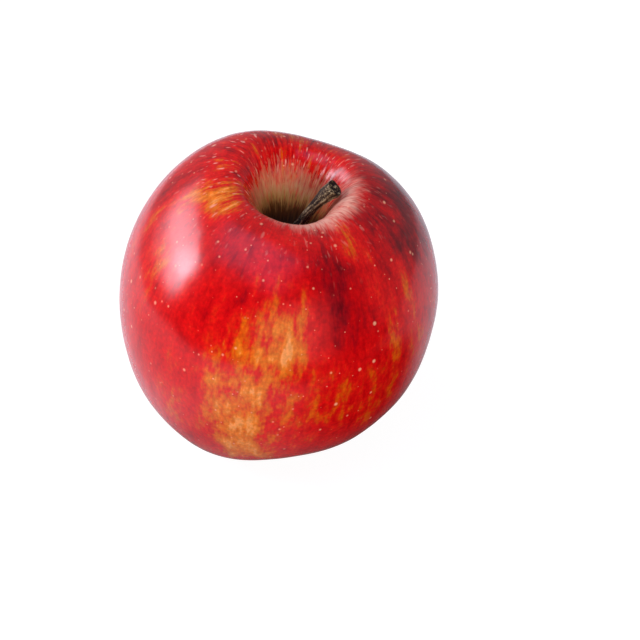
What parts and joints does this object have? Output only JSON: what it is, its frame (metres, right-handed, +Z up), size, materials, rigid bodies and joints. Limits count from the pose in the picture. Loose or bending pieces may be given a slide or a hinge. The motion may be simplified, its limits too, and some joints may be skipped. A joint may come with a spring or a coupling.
{
  "type": "red apple",
  "caption": "Whole red eating apple: an uneven round fruit with a deep stem cavity, a bent woody stem and a dried calyx in the basin underneath.",
  "frame": {"origin": "on the surface that the apple rests on, under the middle of the apple's width and depth", "axes": "+Z up through the stem end, +X towards the side that the core and the stem lean to, -Y the side that faces the camera in the picture"},
  "size_m": [0.0784, 0.078, 0.072],
  "materials": {
    "apple_skin": "gloss",
    "stem_bark": "matte",
    "dried_calyx": "matte"
  },
  "bodies": {
    "root": {"fruit": "apple_skin", "stem": "stem_bark", "calyx": "dried_calyx"}
  },
  "joints": []
}
